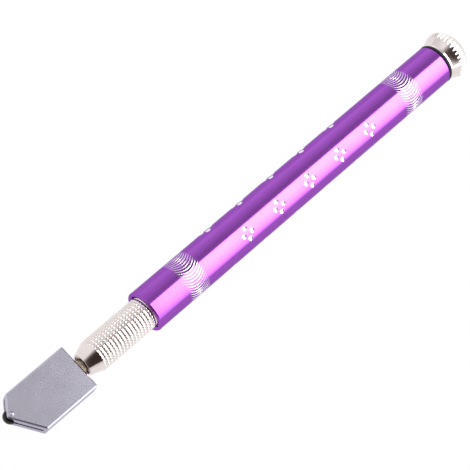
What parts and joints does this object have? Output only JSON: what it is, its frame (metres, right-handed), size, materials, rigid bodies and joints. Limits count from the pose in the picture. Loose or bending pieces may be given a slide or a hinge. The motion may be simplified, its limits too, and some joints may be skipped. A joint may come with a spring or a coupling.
{
  "type": "oil-fed glass cutter",
  "caption": "Pencil-shaped oil-fed glass cutter with a wide sprung wheel head, knurled ferrule, oil-filled tube handle and screwed end cap.",
  "frame": {"origin": "centre of the bounding box in X and Y, at the level of the lowest point of the end cap", "axes": "+X along the tool towards the end cap, +Z square to the head's flat faces, +Y towards the side that the wheel is offset to"},
  "size_m": [0.1712, 0.0141, 0.0141],
  "materials": {
    "anodised_tube": "purple anodised, polished, with bright diamond-cut dots and arcs",
    "nickel_plate": "nickel-plated turned brass, knurled",
    "head_metal": "satin-plated cast zinc",
    "carbide": "dark ground carbide",
    "axle_steel": "ground steel pin",
    "stem_brass": "turned brass, thinly nickelled",
    "valve_brass": "turned brass",
    "wick_felt": "cotton cord",
    "seal_rubber": "black moulded rubber",
    "spring_steel": "drawn spring wire",
    "ball_steel": "polished ball"
  },
  "bodies": {
    "handle": {"handle_tube": "anodised_tube"},
    "front_ring": {"front_seal": "seal_rubber"},
    "ferrule": {"ferrule": "nickel_plate", "valve_seat": "valve_brass", "valve_retainer": "valve_brass", "pressure_spring": "spring_steel", "valve_spring": "spring_steel"},
    "press_washer": {"thrust_washer": "stem_brass"},
    "head": {"head_block": "head_metal", "head_stem": "stem_brass", "push_pin": "axle_steel", "wheel_axle": "axle_steel", "oil_wick": "wick_felt", "stem_seal": "seal_rubber"},
    "wheel": {"cutting_wheel": "carbide"},
    "ball": {"valve_ball": "ball_steel"},
    "cap_ring": {"cap_seal": "seal_rubber"},
    "cap": {"end_cap": "nickel_plate"}
  },
  "joints": [
    {"name": "ferrule_travel", "type": "slide", "parent": "handle", "child": "front_ring", "axis": [-1, 0, 0], "range_m": [0, 0.0063]},
    {"name": "ferrule_turn", "type": "hinge", "parent": "front_ring", "child": "ferrule", "pos_m": [-0.03921, 0, 0.00704], "axis": [-1, 0, 0], "range_deg": [0, 3000]},
    {"name": "head_press", "type": "slide", "parent": "ferrule", "child": "press_washer", "axis": [1, 0, 0], "range_m": [0, 0.0008], "stiffness_N_per_m": 2500, "springref_m": -0.002, "deforming": ["pressure_spring"]},
    {"name": "head_swivel", "type": "hinge", "parent": "press_washer", "child": "head", "pos_m": [-0.06101, 0, 0.00704], "axis": [1, 0, 0], "continuous": true},
    {"name": "wheel_spin", "type": "hinge", "parent": "head", "child": "wheel", "pos_m": [-0.08359, 0.0019, 0.00704], "axis": [0, 0, 1], "continuous": true},
    {"name": "valve_lift", "type": "slide", "parent": "ferrule", "child": "ball", "axis": [1, 0, 0], "range_m": [0, 0.0008], "deforming": ["valve_spring"]},
    {"name": "cap_travel", "type": "slide", "parent": "handle", "child": "cap_ring", "axis": [1, 0, 0], "range_m": [0, 0.007]},
    {"name": "cap_turn", "type": "hinge", "parent": "cap_ring", "child": "cap", "pos_m": [0.07579, 0, 0.00704], "axis": [1, 0, 0], "range_deg": [0, 3360]}
  ],
  "couplings": [
    {"joint": "ferrule_travel", "follows": "ferrule_turn", "m_per_rad": 0.00011937},
    {"joint": "valve_lift", "follows": "head_press", "ratio": 1},
    {"joint": "cap_travel", "follows": "cap_turn", "m_per_rad": 0.00011937}
  ]
}
